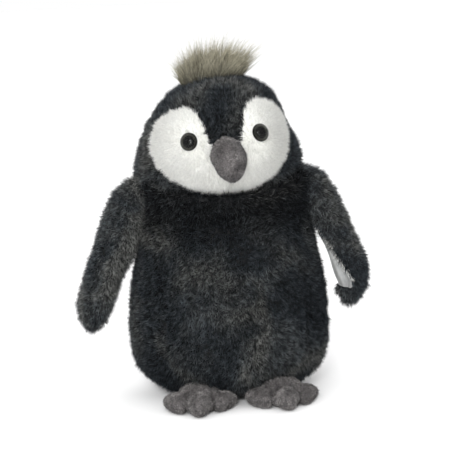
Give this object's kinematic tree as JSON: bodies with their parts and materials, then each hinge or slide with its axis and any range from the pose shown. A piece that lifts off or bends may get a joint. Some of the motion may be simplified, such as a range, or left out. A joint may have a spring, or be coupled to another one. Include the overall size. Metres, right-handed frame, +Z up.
{
  "type": "plush penguin",
  "caption": "Stuffed standing penguin with a pale face, drooping beak, safety eyes, crest tuft, hinged wings, floppy feet and a soft neck.",
  "frame": {"origin": "middle of the flat base, on the surface that the toy stands on", "axes": "+Z up through the head, -Y the way the face looks, +X the toy's own left side"},
  "size_m": [0.2081, 0.1664, 0.2438],
  "materials": {
    "plush": "short dense dark slate pile, mottled",
    "white_pile": "long soft white pile",
    "short_pile": "very short grey pile",
    "crest_pile": "long khaki-grey pile",
    "lining": "smooth silvery velour with a sheen",
    "stuffing": "loose polyester fibre",
    "pouch_cloth": "plain woven cloth",
    "pellets": "loose round pellets",
    "label": "woven satin ribbon, blank",
    "eye_clear": "clear polished acrylic",
    "eye_dark": "moulded, gloss",
    "washer": "moulded, satin"
  },
  "bodies": {
    "torso": {"torso_front_panel": "plush", "torso_back_left_panel": "plush", "torso_back_right_panel": "plush", "torso_base_panel": "plush", "torso_fill": "stuffing", "bean_pouch": "pouch_cloth", "bean_pellets": "pellets", "care_label": "label"},
    "neck": {"neck_fill": "stuffing"},
    "head": {"head_gusset": "plush", "head_left_panel": "plush", "head_right_panel": "plush", "face_patch_left": "white_pile", "face_patch_right": "white_pile", "head_fill": "stuffing", "beak_left_panel": "short_pile", "beak_right_panel": "short_pile", "beak_fill": "stuffing", "crest_tuft": "crest_pile", "eye_left_lens": "eye_clear", "eye_left_post": "eye_dark", "eye_left_washer": "washer", "eye_right_lens": "eye_clear", "eye_right_post": "eye_dark", "eye_right_washer": "washer"},
    "wing_left": {"wing_left_outer_panel": "plush", "wing_left_lining": "lining", "wing_left_fill": "stuffing"},
    "wing_right": {"wing_right_outer_panel": "plush", "wing_right_lining": "lining", "wing_right_fill": "stuffing"},
    "foot_left": {"foot_left_upper": "short_pile", "foot_left_sole": "short_pile", "foot_left_fill": "stuffing"},
    "foot_right": {"foot_right_upper": "short_pile", "foot_right_sole": "short_pile", "foot_right_fill": "stuffing"}
  },
  "joints": [
    {"name": "neck_turn", "type": "hinge", "parent": "torso", "child": "neck", "pos_m": [0, 0, 0.168], "axis": [0, 0, 1], "range_deg": [-30, 30], "stiffness_Nm_per_rad": 0.35},
    {"name": "neck_nod", "type": "hinge", "parent": "neck", "child": "head", "pos_m": [0, 0, 0.168], "axis": [1, 0, 0], "range_deg": [-12, 12], "stiffness_Nm_per_rad": 0.6},
    {"name": "wing_left_lift", "type": "hinge", "parent": "torso", "child": "wing_left", "pos_m": [0.062, 0, 0.128], "axis": [0, -1, 0], "range_deg": [-0.5, 95], "stiffness_Nm_per_rad": 0.03},
    {"name": "wing_right_lift", "type": "hinge", "parent": "torso", "child": "wing_right", "pos_m": [-0.062, 0, 0.128], "axis": [0, 1, 0], "range_deg": [-5, 95], "stiffness_Nm_per_rad": 0.03},
    {"name": "foot_left_flop", "type": "hinge", "parent": "torso", "child": "foot_left", "pos_m": [0.027, -0.048, 0.0068], "axis": [-0.9962, -0.0872, 0], "range_deg": [-20, 16], "stiffness_Nm_per_rad": 0.05},
    {"name": "foot_right_flop", "type": "hinge", "parent": "torso", "child": "foot_right", "pos_m": [-0.027, -0.048, 0.0068], "axis": [-0.9962, 0.0872, 0], "range_deg": [-20, 16], "stiffness_Nm_per_rad": 0.05}
  ]
}
